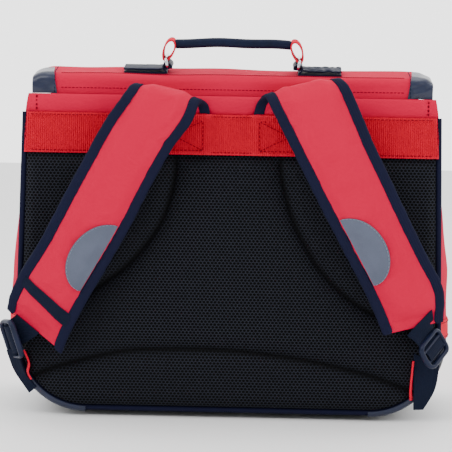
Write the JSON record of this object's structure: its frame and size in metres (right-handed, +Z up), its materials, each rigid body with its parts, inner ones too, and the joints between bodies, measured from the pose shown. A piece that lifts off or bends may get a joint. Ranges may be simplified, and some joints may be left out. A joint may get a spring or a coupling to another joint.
{
  "type": "school ransel",
  "caption": "Box-shaped school satchel with a wrap-over flap, padded mesh back, two padded shoulder straps and a top carry handle.",
  "frame": {"origin": "on the floor under the middle of the base", "axes": "+X to the right for someone who looks at the back, which faces -Y; +Z up"},
  "size_m": [0.4184, 0.2306, 0.3542],
  "materials": {
    "red_cloth": "red woven polyester, matte",
    "red_webbing": "red-orange ribbed webbing, matte",
    "black_air_mesh": "black air mesh over foam, matte",
    "navy_base_cloth": "dark navy coated cloth, matte",
    "navy_patent": "navy coated cloth, glossy",
    "navy_leather": "navy imitation leather, half glossy",
    "navy_binding": "navy grosgrain tape, matte",
    "navy_webbing": "navy webbing, matte",
    "grey_reflector": "grey reflective cloth, satin",
    "navy_plastic": "navy moulded plastic, satin",
    "chrome_wire": "chromed steel wire"
  },
  "bodies": {
    "root": {"gusset_left": "red_cloth", "gusset_right": "red_cloth", "side_tape_left": "red_webbing", "side_tape_right": "red_webbing", "base_panel": "navy_base_cloth", "back_panel": "red_cloth", "front_panel": "red_cloth", "back_piping": "navy_binding", "front_piping": "navy_binding", "corner_sleeve_left": "navy_patent", "corner_sleeve_right": "navy_patent", "mesh_back_pad": "black_air_mesh", "upper_band": "red_cloth", "back_webbing": "red_webbing", "flap": "red_cloth", "flap_guard_left": "navy_patent", "flap_guard_right": "navy_patent", "front_clasp": "navy_plastic", "handle_grip": "navy_leather", "handle_anchor_left": "navy_leather", "handle_anchor_right": "navy_leather", "handle_ring_left": "chrome_wire", "handle_ring_right": "chrome_wire", "handle_loop_left": "red_webbing", "handle_loop_right": "red_webbing", "strap_pad_left": "red_cloth", "strap_pad_right": "red_cloth", "strap_inner_binding_left": "navy_binding", "strap_outer_binding_left": "navy_binding", "strap_inner_binding_right": "navy_binding", "strap_outer_binding_right": "navy_binding", "strap_reflector_left": "grey_reflector", "strap_reflector_right": "grey_reflector", "strap_tape_left": "navy_webbing", "strap_tab_left": "navy_webbing", "strap_tab_right": "navy_webbing", "ladder_buckle_left": "navy_plastic", "ladder_buckle_right": "navy_plastic", "lower_tab_left": "red_webbing", "lower_tab_right": "red_webbing", "lower_webbing_left": "navy_webbing", "lower_webbing_right": "navy_webbing"}
  },
  "joints": []
}
